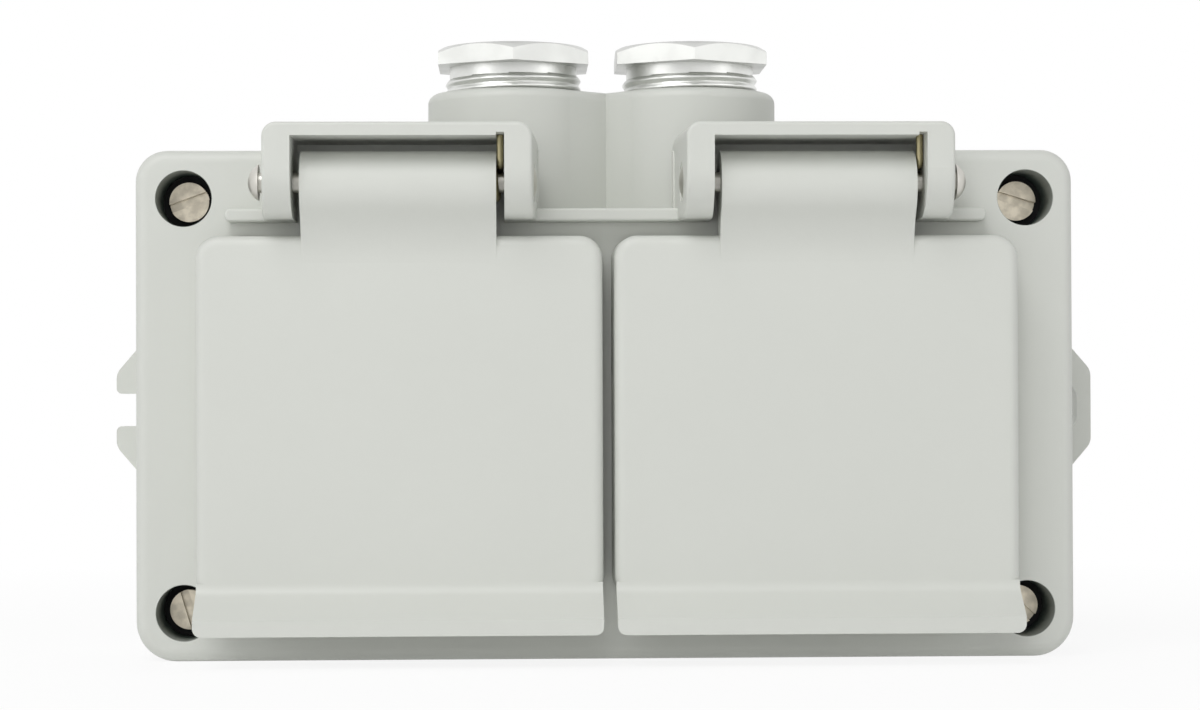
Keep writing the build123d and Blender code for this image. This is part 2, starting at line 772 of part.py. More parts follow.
    # Lid spring, a close coil round the pin, with one leg forward and up into the hood bar
    coil_end = lid_x + (tongue_width + bracket_opening) / 4 + spring_wire / 2
    coil_start = lid_x + tongue_width / 2 - spring_length
    coil_top = hinge_height + spring_coil_radius
    leg_spot = (coil_end - spring_wire / 2, -hinge_depth - spring_leg_reach)
    with BuildPart() as lid_spring:
        with BuildSketch(side_plane(coil_end)):
            with Locations((hinge_depth, hinge_height)):
                Circle(spring_coil_radius + spring_wire / 2)
                Circle(spring_coil_radius - spring_wire / 2, mode=Mode.SUBTRACT)
        extrude(amount=coil_end - coil_start - part_play)
        with BuildSketch(depth_plane(hinge_depth)):
            with Locations((leg_spot[0], coil_top)):
                Circle(spring_wire / 2)
        extrude(amount=spring_leg_reach)
        with Locations((*leg_spot, coil_top)):
            Sphere(spring_wire / 2)
        with BuildSketch(Plane.XY.offset(coil_top)):
            with Locations(leg_spot):
                Circle(spring_wire / 2)
        extrude(amount=bracket_top - bracket_bar + spring_notch - part_play - coil_top)
        with BuildSketch(side_plane(coil_start + spring_wire)):
            with Locations((hinge_depth, hinge_height - spring_coil_radius)):
                Circle(spring_wire / 2)
        extrude(amount=spring_wire + spring_tang)
    lid_spring.part.label = f"lid_spring_{side}"
    export_step(lid_spring.part, f"parts/lid_spring_{side}.step")

    # Socket cup, the moulded recess that takes the plug
    with BuildPart() as socket_cup:
        with BuildSketch(depth_plane(cup_back_depth)):
            with Locations((lid_x, socket_height)):
                Circle(cup_radius)
        extrude(amount=cup_front_depth - cup_back_depth)
        with BuildSketch(depth_plane(recess_floor_depth)):
            with Locations((lid_x, socket_height)):
                Circle(recess_radius)
        extrude(amount=recess_length, mode=Mode.SUBTRACT)
        fillet(
            socket_cup.faces().sort_by(Axis.Y)[0].edges(), cup_edge_radius
        )
        with BuildSketch(depth_plane(recess_floor_depth)):
            with Locations((lid_x, socket_height)):
                with GridLocations(2 * recess_radius, 0, 2, 1):
                    Rectangle(2 * guide_height, guide_width)
        extrude(amount=recess_length - guide_setback)
        with BuildSketch(depth_plane(cup_back_depth)):
            with Locations((lid_x, socket_height)):
                with GridLocations(pin_pitch, 0, 2, 1):
                    Circle(pin_hole_radius)
                Circle(block_screw_radius + part_play)
                with GridLocations(0, 2 * clip_half, 1, 2):
                    Rectangle(clip_width + 2 * part_play, clip_thickness + 2 * part_play)
        extrude(amount=cup_floor, mode=Mode.SUBTRACT)
    socket_cup.part.label = f"socket_cup_{side}"
    export_step(socket_cup.part, f"parts/socket_cup_{side}.step")

    # Terminal block behind the cup, screwed to two posts of the box
    with BuildPart() as terminal_block:
        with BuildSketch(depth_plane(block_back_depth)):
            with Locations((lid_x, socket_height)):
                RectangleRounded(block_width, block_height, block_corner_radius)
        extrude(amount=cup_back_depth - block_back_depth)
        with BuildSketch(depth_plane(ear_depth)):
            with Locations((lid_x, socket_height)):
                for hand in sides.values():
                    with Locations((hand * ear_offset_x, hand * ear_offset_z)):
                        Circle(ear_radius)
                        Rectangle(2 * ear_radius, ear_offset_z, align=(
                            Align.CENTER, Align.MAX if hand > 0 else Align.MIN))
        extrude(amount=ear_thickness)
        with BuildSketch(depth_plane(ear_depth)):
            with Locations((lid_x, socket_height)):
                with Locations((ear_offset_x, ear_offset_z), (-ear_offset_x, -ear_offset_z)):
                    Circle(block_screw_radius + part_play)
                Circle(block_screw_radius + part_play)
        extrude(amount=cup_back_depth - ear_depth, mode=Mode.SUBTRACT)
        with BuildSketch(depth_plane(sleeve_back_depth - part_play)):
            with Locations((lid_x, socket_height)):
                with GridLocations(pin_pitch, 0, 2, 1):
                    Circle(sleeve_bore + sleeve_wall + part_play)
        extrude(amount=cup_back_depth - sleeve_back_depth + part_play, mode=Mode.SUBTRACT)
        with BuildSketch(depth_plane(block_back_depth)):
            with Locations((lid_x, socket_height)):
                with GridLocations(pin_pitch + block_width, 0, 2, 1):
                    Rectangle(block_width, contact_arm_width + 2 * part_play)
        extrude(
            amount=sleeve_back_depth + contact_arm_thickness + part_play - block_back_depth,
            mode=Mode.SUBTRACT,
        )
    terminal_block.part.label = f"terminal_block_{side}"
    export_step(terminal_block.part, f"parts/terminal_block_{side}.step")

    # Line and neutral contacts, each a pin sleeve with an arm to its wire terminal
    terminal_x = (block_width + terminal_width) / 2 + part_play
    for pole, hand in (("line", -1), ("neutral", 1)):
        with BuildPart() as contact:
            with BuildSketch(depth_plane(sleeve_back_depth)):
                with Locations((lid_x + hand * pin_pitch / 2, socket_height)):
                    Circle(sleeve_bore + sleeve_wall)
            extrude(amount=cup_back_depth - sleeve_front_gap - sleeve_back_depth)
            with BuildSketch(depth_plane(sleeve_back_depth)):
                with Locations((lid_x + hand * (pin_pitch / 2 + terminal_x) / 2, socket_height)):
                    Rectangle(terminal_x - pin_pitch / 2, contact_arm_width)
            extrude(amount=contact_arm_thickness)
            with BuildSketch(depth_plane(sleeve_back_depth)):
                with Locations((lid_x + hand * terminal_x, socket_height)):
                    Rectangle(terminal_width, terminal_height)
            extrude(amount=terminal_depth)
            with BuildSketch(depth_plane(sleeve_back_depth)):
                with Locations((lid_x + hand * pin_pitch / 2, socket_height)):
                    Circle(sleeve_bore)
            extrude(amount=cup_back_depth - sleeve_back_depth, mode=Mode.SUBTRACT)
            with BuildSketch(depth_plane(sleeve_back_depth + part_play)):
                with Locations((lid_x + hand * terminal_x, socket_height)):
                    Circle(terminal_screw_radius + thread_play)
            extrude(amount=terminal_depth, mode=Mode.SUBTRACT)
        contact.part.label = f"{pole}_contact_{side}"
        export_step(contact.part, f"parts/{pole}_contact_{side}.step")

    # Terminal screws, one in each contact
    terminal_face = sleeve_back_depth + terminal_depth
    with BuildPart() as terminal_screws:
        with BuildSketch(depth_plane(terminal_face)):
            with Locations((lid_x, socket_height)):
                with GridLocations(2 * terminal_x, 0, 2, 1):
                    Circle(terminal_screw_head)
        extrude(amount=terminal_screw_head_height)
        with BuildSketch(depth_plane(terminal_face)):
            with Locations((lid_x, socket_height)):
                with GridLocations(2 * terminal_x, 0, 2, 1):
                    Circle(terminal_screw_radius)
        extrude(amount=2 * part_play - terminal_depth)
        with BuildSketch(depth_plane(terminal_face + terminal_screw_head_height)):
            with Locations((lid_x, socket_height)):
                with GridLocations(2 * terminal_x, 0, 2, 1):
                    Rectangle(2 * (terminal_screw_head + screw_slot_overrun), screw_slot_width)
        extrude(amount=-screw_slot_depth, mode=Mode.SUBTRACT)
    terminal_screws.part.label = f"terminal_screws_{side}"
    export_step(terminal_screws.part, f"parts/terminal_screws_{side}.step")

    # Earth clip, one strip bent round the block with a sprung crown at both ends
    with BuildPart() as earth_clip:
        with BuildSketch(side_plane(lid_x)):
            with BuildLine():
                back = block_back_depth - clip_thickness / 2
                Polyline(
                    (clip_front_depth, socket_height + clip_half),
                    (clip_crown_depth, socket_height + clip_half - clip_crown),
                    (clip_bend_depth, socket_height + clip_half),
                    (back, socket_height + clip_half),
                    (back, socket_height - clip_half),
                    (clip_bend_depth, socket_height - clip_half),
                    (clip_crown_depth, socket_height - clip_half + clip_crown),
                    (clip_front_depth, socket_height - clip_half),
                )
            trace(line_width=clip_thickness)
        extrude(amount=clip_width / 2, both=True)
    earth_clip.part.label = f"earth_clip_{side}"
    export_step(earth_clip.part, f"parts/earth_clip_{side}.step")

    # Cup screw, which holds the cup on its terminal block
    with BuildPart() as cup_screw:
        with BuildSketch(depth_plane(recess_floor_depth)):
            with Locations((lid_x, socket_height)):
                Circle(block_screw_head)
        extrude(amount=block_screw_head_height)
        with BuildSketch(depth_plane(recess_floor_depth)):
            with Locations((lid_x, socket_height)):
                Circle(block_screw_radius)
        extrude(amount=-block_screw_reach)
        with BuildSketch(depth_plane(recess_floor_depth + block_screw_head_height)):
            with Locations((lid_x, socket_height)):
                Rectangle(
                    2 * (block_screw_head + screw_slot_overrun), screw_slot_width,
                    rotation=sign * cup_screw_turn,
                )
        extrude(amount=-screw_slot_depth, mode=Mode.SUBTRACT)
    cup_screw.part.label = f"cup_screw_{side}"
    export_step(cup_screw.part, f"parts/cup_screw_{side}.step")

# Block screws, which hold both terminal blocks on their posts
ear_front = ear_depth + ear_thickness
with BuildPart() as block_screws:
    with BuildSketch(depth_plane(ear_front)):
        with Locations((0, socket_height)):
            with GridLocations(lid_pitch, 0, 2, 1):
                with Locations((ear_offset_x, ear_offset_z), (-ear_offset_x, -ear_offset_z)):
                    Circle(block_screw_head)
    extrude(amount=block_screw_head_height)
    with BuildSketch(depth_plane(ear_front)):
        with Locations((0, socket_height)):
            with GridLocations(lid_pitch, 0, 2, 1):
                with Locations((ear_offset_x, ear_offset_z), (-ear_offset_x, -ear_offset_z)):
                    Circle(block_screw_radius)
    extrude(amount=-(ear_thickness + block_screw_reach - part_play))
    with BuildSketch(depth_plane(ear_front + block_screw_head_height)):
        with Locations((0, socket_height)):
            with GridLocations(lid_pitch, 0, 2, 1):
                with Locations((ear_offset_x, ear_offset_z), (-ear_offset_x, -ear_offset_z)):
                    Rectangle(
                        2 * (block_screw_head + screw_slot_overrun), screw_slot_width,
                        rotation=block_screw_turn,
                    )
    extrude(amount=-screw_slot_depth, mode=Mode.SUBTRACT)
block_screws.part.label = "block_screws"
export_step(block_screws.part, "parts/block_screws.step")

# Earth washer on the post of the housing floor
with BuildPart() as earth_washer:
    with BuildSketch(depth_plane(earth_post_depth)):
        with Locations((0, earth_height)):
            Circle(earth_washer_radius)
            Circle(screw_radius + part_play, mode=Mode.SUBTRACT)
    extrude(amount=earth_washer_thickness)
earth_washer.part.label = "earth_washer"
export_step(earth_washer.part, "parts/earth_washer.step")

# Earth screw through the washer into the post
earth_seat = earth_post_depth + earth_washer_thickness
with BuildPart() as earth_screw:
    with BuildSketch(depth_plane(earth_seat)):
        with Locations((0, earth_height)):
            Circle(earth_screw_head)
    extrude(amount=screw_head_height)
    with BuildSketch(depth_plane(earth_seat)):
        with Locations((0, earth_height)):
            Circle(screw_radius)
    extrude(amount=box_floor + part_play - earth_seat)
    with BuildSketch(depth_plane(earth_seat + screw_head_height)):
        with Locations((0, earth_height)):
            Rectangle(
                2 * (earth_screw_head + screw_slot_overrun), screw_slot_width,
                rotation=earth_screw_turn,
            )
    extrude(amount=-screw_slot_depth, mode=Mode.SUBTRACT)
earth_screw.part.label = "earth_screw"
export_step(earth_screw.part, "parts/earth_screw.step")
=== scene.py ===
"""Outdoor double socket: finishes, gland threads, boss web, lid springs and a plain studio."""

import logging
import math
from abc import ABC, abstractmethod
from collections.abc import Mapping, Sequence
from dataclasses import dataclass, field
from enum import Enum
from typing import Any

import bpy
import numpy as np
from mathutils import Euler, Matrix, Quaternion, Vector


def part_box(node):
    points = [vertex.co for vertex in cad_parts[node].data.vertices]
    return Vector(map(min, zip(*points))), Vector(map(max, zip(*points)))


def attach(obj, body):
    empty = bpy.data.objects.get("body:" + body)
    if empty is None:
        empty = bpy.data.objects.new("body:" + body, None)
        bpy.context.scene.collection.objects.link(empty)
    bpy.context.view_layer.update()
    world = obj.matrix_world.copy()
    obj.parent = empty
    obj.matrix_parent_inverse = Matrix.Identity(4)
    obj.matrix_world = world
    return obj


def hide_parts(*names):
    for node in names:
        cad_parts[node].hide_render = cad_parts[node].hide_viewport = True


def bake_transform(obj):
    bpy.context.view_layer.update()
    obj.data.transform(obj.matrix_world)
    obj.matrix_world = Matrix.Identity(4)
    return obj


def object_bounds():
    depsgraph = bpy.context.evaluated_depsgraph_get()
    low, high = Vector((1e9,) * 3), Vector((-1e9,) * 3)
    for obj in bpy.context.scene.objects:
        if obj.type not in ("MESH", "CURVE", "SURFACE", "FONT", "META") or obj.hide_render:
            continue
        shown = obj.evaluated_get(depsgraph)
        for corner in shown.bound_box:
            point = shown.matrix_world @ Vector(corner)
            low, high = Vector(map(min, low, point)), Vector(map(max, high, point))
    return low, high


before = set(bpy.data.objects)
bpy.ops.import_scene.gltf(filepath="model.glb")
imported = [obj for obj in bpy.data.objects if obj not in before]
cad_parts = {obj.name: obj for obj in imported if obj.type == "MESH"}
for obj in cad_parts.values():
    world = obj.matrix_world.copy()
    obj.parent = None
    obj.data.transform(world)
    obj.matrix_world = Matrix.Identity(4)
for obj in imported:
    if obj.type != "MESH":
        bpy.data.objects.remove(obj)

CAD_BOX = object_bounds()
MM = 0.001
FULL_TURN = 2.0 * math.pi
QUARTER_TURN = math.pi / 2.0
HEX_SIDES = 6
HEX_HEIGHT = 3.5 * MM
PHOTO_WIDTH = 1200.0

log = logging.getLogger("socket")

Colour = tuple[float, float, float, float]
Point = tuple[float, float, float]
Coordinate = float | np.ndarray


class Body(Enum):
    """The rigid bodies of the frame that pieces ride on."""

    HOUSING = "housing"
    LID_LEFT = "lid_body_left"
    LID_RIGHT = "lid_body_right"


class Side(Enum):
    """The two sides of the double socket, as the viewer sees them."""

    LEFT = "left"
    RIGHT = "right"

    @property
    def lid_body(self) -> Body:
        """The body that this side's lid swings with."""
        return Body.LID_LEFT if self is Side.LEFT else Body.LID_RIGHT


def srgb(red: int, green: int, blue: int) -> Colour:
    """Turn a colour as a screen shows it into the linear colour a shader takes.

    The sRGB curve is a straight toe, and above the toe a power of the lifted share.

    Args:
        red: Red from 0 to 255.
        green: Green from 0 to 255.
        blue: Blue from 0 to 255.

    Returns:
        The linear colour, opaque.
    """
    toe, toe_slope, lift, power = 0.04045, 12.92, 0.055, 2.4
    shares = np.array([red, green, blue]) / 255.0
    curve = ((shares + lift) / (1.0 + lift)) ** power
    linear = np.where(shares <= toe, shares / toe_slope, curve)
    return (float(linear[0]), float(linear[1]), float(linear[2]), 1.0)


def darker(colour: Colour, depth: float) -> Colour:
    """Lower a colour's channels by a share of themselves.

    Args:
        colour: The linear colour.
        depth: The share that is taken off, from nought to one.

    Returns:
        The darker colour, opaque.
    """
    shade = 1.0 - depth
    red, green, blue, _ = colour
    return (red * shade, green * shade, blue * shade, 1.0)


class Wire:
    """One shader socket with arithmetic: an expression on wires adds its Math nodes."""

    def __init__(self, recipe: "Recipe", socket: bpy.types.NodeSocket) -> None:
        """Keep the socket and the recipe that it belongs to."""
        self.recipe = recipe
        self.socket = socket

    def _math(self, operation: str, first: Any, second: Any) -> "Wire":
        """Add one Math node.

        Args:
            operation: The Math node's operation.
            first: A wire or a number.
            second: A wire or a number.

        Returns:
            The node's result.
        """
        return self.recipe.node("ShaderNodeMath", {"operation": operation}, {0: first, 1: second})

    def __add__(self, other: Any) -> "Wire":
        """This wire plus the other."""
        return self._math("ADD", self, other)

    def __radd__(self, other: Any) -> "Wire":
        """The other plus this wire."""
        return self._math("ADD", other, self)

    def __sub__(self, other: Any) -> "Wire":
        """This wire less the other."""
        return self._math("SUBTRACT", self, other)

    def __rsub__(self, other: Any) -> "Wire":
        """The other less this wire."""
        return self._math("SUBTRACT", other, self)

    def __mul__(self, other: Any) -> "Wire":
        """This wire times the other."""
        return self._math("MULTIPLY", self, other)

    def __rmul__(self, other: Any) -> "Wire":
        """The other times this wire."""
        return self._math("MULTIPLY", other, self)

    def __abs__(self) -> "Wire":
        """The size of this wire, whatever its sign."""
        return self._math("ABSOLUTE", self, 0.0)

    def __lt__(self, other: Any) -> "Wire":
        """One where this wire is less than the other, and nought elsewhere."""
        return self._math("LESS_THAN", self, other)

    def at_most(self, other: Any) -> "Wire":
        """The smaller of this wire and the other."""
        return self._math("MINIMUM", self, other)


class Recipe:
    """A node tree under construction, for a material or for the world."""

    def __init__(self, owner: bpy.types.Material | bpy.types.World) -> None:
        """Empty the owner's node tree and keep it."""
        owner.use_nodes = True
        self.tree = owner.node_tree
        self.tree.nodes.clear()

    def node(
        self,
        kind: str,
        settings: Mapping[str, Any] | None = None,
        sockets: Mapping[int | str, Any] | None = None,
        out: int | str = 0,
    ) -> Wire:
        """Add one node, with its settings first and its sockets after.

        Args:
            kind: The node's type.
            settings: The node's own properties. A ramp's stops are (place, colour) pairs.
            sockets: Values or wires by input name or number.
            out: The output that the wire starts from.

        Returns:
            A wire on that output.
        """
        made = self.tree.nodes.new(kind)
        for key, value in (settings or {}).items():
            if key == "stops":
                self._set_stops(made.color_ramp, value)
            else:
                setattr(made, key, value)
        for key, value in (sockets or {}).items():
            if isinstance(value, Wire):
                self.tree.links.new(value.socket, made.inputs[key])
            else:
                made.inputs[key].default_value = value
        return Wire(self, made.outputs[out])

    def place(self) -> Wire:
        """The piece's own coordinates."""
        return self.node("ShaderNodeTexCoord", out="Object")

    def axis(self, place: Wire, letter: str) -> Wire:
        """One axis of a place, by its capital letter."""
        return self.node("ShaderNodeSeparateXYZ", sockets={"Vector": place}, out=letter)

    def noise(self, place: Wire, scale: float, detail: float) -> Wire:
        """Add noise over a place.

        Args:
            place: The coordinates that the noise follows.
            scale: About how many grains lie on a metre.
            detail: How many finer layers are laid over the first.

        Returns:
            The noise, from nought to one.
        """
        return self.node(
            "ShaderNodeTexNoise", sockets={"Vector": place, "Scale": scale, "Detail": detail}
        )

    def bump(self, height: Wire, strength: float, distance: float) -> Wire:
        """Roughen the surface.

        Args:
            height: The relief, from nought to one.
            strength: How strongly the relief shows.
            distance: The height that one stands for, in metres.

        Returns:
            The normal of the rough surface.
        """
        return self.node(
            "ShaderNodeBump", sockets={"Height": height, "Strength": strength, "Distance": distance}
        )

    def mix(self, share: Wire, first: Wire | Colour, second: Wire | Colour) -> Wire:
        """Mix two colours, by socket numbers because the node's socket names repeat.

        Args:
            share: How much of the second colour shows, from nought to one.
            first: A colour or a wire that carries one.
            second: A colour or a wire that carries one.

        Returns:
            The mixed colour.
        """
        factor, colour_a, colour_b, result = 0, 6, 7, 2
        sockets = {factor: share, colour_a: first, colour_b: second}
        return self.node("ShaderNodeMix", {"data_type": "RGBA"}, sockets, out=result)

    def finish(self, shader: Wire, kind: str = "ShaderNodeOutputMaterial") -> None:
        """Join the last shader to the output.

        Args:
            shader: The shader that the surface shows.
            kind: The output node's type.
        """
        output = self.tree.nodes.new(kind)
        self.tree.links.new(shader.socket, output.inputs["Surface"])

    @staticmethod
    def _set_stops(ramp: bpy.types.ColorRamp, stops: Sequence[tuple[float, Colour]]) -> None:
        """Give a ramp its stops.

        Args:
            ramp: The ramp of a Color Ramp node.
            stops: Pairs of place and colour, in order.
        """
        while len(ramp.elements) < len(stops):
            ramp.elements.new(1.0)
        for element, (place, colour) in zip(ramp.elements, stops):
            element.position = place
            element.color = colour


@dataclass(frozen=True)
class Finish(ABC):
    """A surface finish that keeps one material for all the pieces that wear it."""

    name: str
    colour: Colour
    roughness: float

    def material(self) -> bpy.types.Material:
        """The finish's material, made once."""
        kept = bpy.data.materials.get(self.name)
        if kept is not None:
            return kept
        made = bpy.data.materials.new(self.name)
        self._mix(Recipe(made))
        return made

    @abstractmethod
    def _mix(self, recipe: Recipe) -> None:
        """Make the shader of the finish.

        Args:
            recipe: The empty tree to fill.
        """


@dataclass(frozen=True)
class CastPaint(Finish):
    """Stoved paint on a die casting: faint clouds of tone and a fine orange peel."""

    cloud_scale: float = 28.0
    cloud_detail: float = 3.0
    cloud_depth: float = 0.035
    peel_scale: float = 900.0
    peel_detail: float = 1.0
    peel_height: float = 0.00003
    peel_strength: float = 0.35
    sheen_spread: float = 0.08

    def _mix(self, recipe: Recipe) -> None:
        """Mix the paint's colour, gloss and peel from noise on the piece's own coordinates.

        Args:
            recipe: The empty tree to fill.
        """
        place = recipe.place()
        cloud = recipe.noise(place, self.cloud_scale, self.cloud_detail)
        peel = recipe.noise(place, self.peel_scale, self.peel_detail)
        gloss = cloud * self.sheen_spread + (self.roughness - self.sheen_spread / 2)
        recipe.finish(
            recipe.node(
                "ShaderNodeBsdfPrincipled",
                sockets={
                    "Base Color": self._tone(recipe, place, cloud),
                    "Roughness": gloss,
                    "Normal": recipe.bump(peel, self.peel_strength, self.peel_height),
                },
            )
        )

    def _tone(self, recipe: Recipe, place: Wire, cloud: Wire) -> Wire:
        """Mix the paint's colour.

        Args:
            recipe: The tree to add to.
            place: The piece's own coordinates. Not used here.
            cloud: The clouds of tone, from nought to one.

        Returns:
            The colour.
        """
        return recipe.mix(cloud, darker(self.colour, self.cloud_depth), self.colour)


@dataclass(frozen=True)
class WellShadedPaint(CastPaint):
    """The same paint with painted shade down the walls of the four screw wells."""

    screws: str = "cover_screws"
    # The shade colour and its share at the mouth are painted shade in the wells, darkest at the screw
    # heads.
    well_shade: Colour = srgb(104, 115, 109)
    shade_at_mouth: float = 0.6
    head_radius: float = 3.5 * MM
    well_radius: float = 4.95 * MM
    well_reach: float = 9.1 * MM

    def _tone(self, recipe: Recipe, place: Wire, cloud: Wire) -> Wire:
        """Lay painted shade over the paint's colour in the screw wells.

        A point is in a well where the squares of its distances from the nearest screw axis, along
        X and along Z, add up to less than the square of the well's radius. The painted shade
        thickens evenly from the well's mouth to the screw's head.

        Args:
            recipe: The tree to add to.
            place: The piece's own coordinates.
            cloud: The clouds of tone, from nought to one.

        Returns:
            The colour.
        """
        low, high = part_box(self.screws)
        x, y, z = (recipe.axis(place, letter) for letter in "XYZ")
        across = abs(x - (low.x + high.x) / 2) - ((high.x - low.x) / 2 - self.head_radius)
        along = abs(z - (low.z + high.z) / 2) - ((high.z - low.z) / 2 - self.head_radius)
        inside = across * across + along * along < self.well_radius**2
        sunk = recipe.node(
            "ShaderNodeMapRange",
            sockets={
                "Value": y,
                "From Min": low.y - self.well_reach,
                "From Max": low.y,
                "To Min": self.shade_at_mouth,
                "To Max": 1.0,
            },
        )
        # Painted shade: the well walls grow darker towards the screw heads.
        return recipe.mix(inside * sunk, super()._tone(recipe, place, cloud), self.well_shade)


@dataclass(frozen=True)
class TurnedMetal(Finish):
    """Plated metal with fine tool lines along one direction and a stain that dulls it."""

    line_scale: float = 60.0
    line_detail: float = 2.0
    line_stretch: Point = (1.0, 1.0, 60.0)
    line_height: float = 0.000012
    line_strength: float = 0.25
    stain_scale: float = 180.0
    stain_detail: float = 4.0
    stain_edges: tuple[float, float] = (0.38, 0.58)
    stain_depth: float = 0.12
    stain_gloss: float = 0.12

    def _mix(self, recipe: Recipe) -> None:
        """Mix bright metal with tool lines and an uneven stain.

        Args:
            recipe: The empty tree to fill.
        """
        place = recipe.place()
        stretched = recipe.node(
            "ShaderNodeMapping", sockets={"Vector": place, "Scale": self.line_stretch}
        )
        lines = recipe.noise(stretched, self.line_scale, self.line_detail)
        stain = recipe.noise(place, self.stain_scale, self.stain_detail)
        gloss = (self.roughness + self.stain_gloss / 2) - stain * self.stain_gloss
        recipe.finish(
            recipe.node(
                "ShaderNodeBsdfPrincipled",
                sockets={
                    "Base Color": self._tone(recipe, place, stain),
                    "Metallic": 1.0,
                    "Roughness": gloss,
                    "Normal": recipe.bump(lines, self.line_strength, self.line_height),
                },
            )
        )

    def _tone(self, recipe: Recipe, place: Wire, stain: Wire) -> Wire:
        """Mix the metal's colour.

        Args:
            recipe: The tree to add to.
            place: The piece's own coordinates. Not used here.
            stain: The stain, from nought where it is thickest to one.

        Returns:
            The colour.
        """
        return self._stained(recipe, stain, self.colour)

    def _stained(self, recipe: Recipe, stain: Wire, bright: Colour) -> Wire:
        """Darken a bright colour where the stain lies.

        Args:
            recipe: The tree to add to.
            stain: The stain, from nought where it is thickest to one.
            bright: The colour of the clean metal.

        Returns:
            The colour.
        """
        thick, clean = self.stain_edges
        stops = ((thick, darker(bright, self.stain_depth)), (clean, bright))
        return recipe.node("ShaderNodeValToRGB", {"stops": stops}, {"Fac": stain}, out="Color")


@dataclass(frozen=True)
class GlandMetal(TurnedMetal):
    """Plated metal with a lighter colour painted on the neck below the hexagon, standing in for the
    neck's brighter reflections.
    """

    screw: str = "gland_screw_left"
    hex_edge: float = 0.05 * MM
    # A lighter colour for the neck: painted light that stands in for the brighter reflections on the
    # neck.
    neck_reflection_tone: Colour = srgb(230, 231, 228)

    def _tone(self, recipe: Recipe, place: Wire, stain: Wire) -> Wire:
        """Brighten the metal's colour below the hexagon, as painted reflected light.

        Args:
            recipe: The tree to add to.
            place: The piece's own coordinates.
            stain: The stain, from nought where it is thickest to one.

        Returns:
            The colour.
        """
        below = recipe.axis(place, "Z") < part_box(self.screw)[1].z - HEX_HEIGHT - self.hex_edge
        hex_tone = super()._tone(recipe, place, stain)
        # Painted light: below the hexagon the lighter neck colour is used.
        return recipe.mix(below, hex_tone, self._stained(recipe, stain, self.neck_reflection_tone))


@dataclass(frozen=True)
class GrainedMoulding(Finish):
    """Moulded thermoset or rubber with a fine even grain."""

    grain_scale: float = 2500.0
    grain_detail: float = 2.0
    grain_height: float = 0.00004
    grain_strength: float = 0.3

    def _mix(self, recipe: Recipe) -> None:
        """Mix an even colour with a fine grain in the surface.

        Args:
            recipe: The empty tree to fill.
        """
        grain = recipe.noise(recipe.place(), self.grain_scale, self.grain_detail)
        recipe.finish(
            recipe.node(
                "ShaderNodeBsdfPrincipled",
                sockets={
                    "Base Color": self.colour,
                    "Roughness": self.roughness,
                    "Normal": recipe.bump(grain, self.grain_strength, self.grain_height),
                },
            )
        )


CASTING_GREY = srgb(213, 215, 209)
PAINT_ROUGHNESS = 0.46
GREY_PAINT = CastPaint("grey_cast_paint", CASTING_GREY, PAINT_ROUGHNESS)
COVER_PAINT = WellShadedPaint("grey_cover_paint", CASTING_GREY, PAINT_ROUGHNESS)
GLAND_NICKEL = GlandMetal("bright_gland_nickel", srgb(207, 208, 205), 0.38, stain_depth=0.06)
SCREW_NICKEL = TurnedMetal(
    "worn_screw_nickel",
    srgb(226, 217, 198),
    0.38,
    line_scale=420.0,
    line_stretch=(1.0, 1.0, 3.0),
    line_height=0.00003,
    line_strength=0.4,
    stain_scale=520.0,
    stain_depth=0.22,
)
PIN_STEEL = TurnedMetal("hinge_pin_steel", srgb(208, 206, 199), 0.42, line_stretch=(30.0, 1.0, 1.0))
SPRING_OLIVE = TurnedMetal("olive_spring_wire", srgb(178, 169, 134), 0.42, stain_depth=0.25)
CLIP_NICKEL = TurnedMetal("sprung_clip_nickel", srgb(236, 233, 224), 0.52, stain_depth=0.08)
BARE_BRASS = TurnedMetal("bare_contact_brass", srgb(207, 174, 108), 0.32)
SEAL_RUBBER = GrainedMoulding("black_seal_rubber", srgb(34, 34, 34), 0.72)
INSERT_MOULDING = GrainedMoulding("dark_insert_moulding", srgb(58, 58, 57), 0.48)
BLOCK_MOULDING = GrainedMoulding("grey_block_moulding", srgb(150, 147, 140), 0.55)


def dress(nodes: Sequence[str], finish: Finish) -> None:
    """Give solids of the frame a finish in place of their plain one.

    Args:
        nodes: The names of the solids.
        finish: The finish that they wear.
    """
    for name in nodes:
        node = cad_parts[name]
        node.data.materials.clear()
        node.data.materials.append(finish.material())
        log.info("%s wears %s", name, finish.name)


def track(x: Coordinate, y: Coordinate, z: Coordinate) -> np.ndarray:
    """Stack three coordinates into points.

    Args:
        x: The places along X, or one place for all the points.
        y: The places along Y, or one place for all the points.
        z: The places along Z, or one place for all the points.

    Returns:
        Places in metres, with the coordinates along the last axis.
    """
    return np.stack(np.broadcast_arrays(x, y, z), axis=-1)


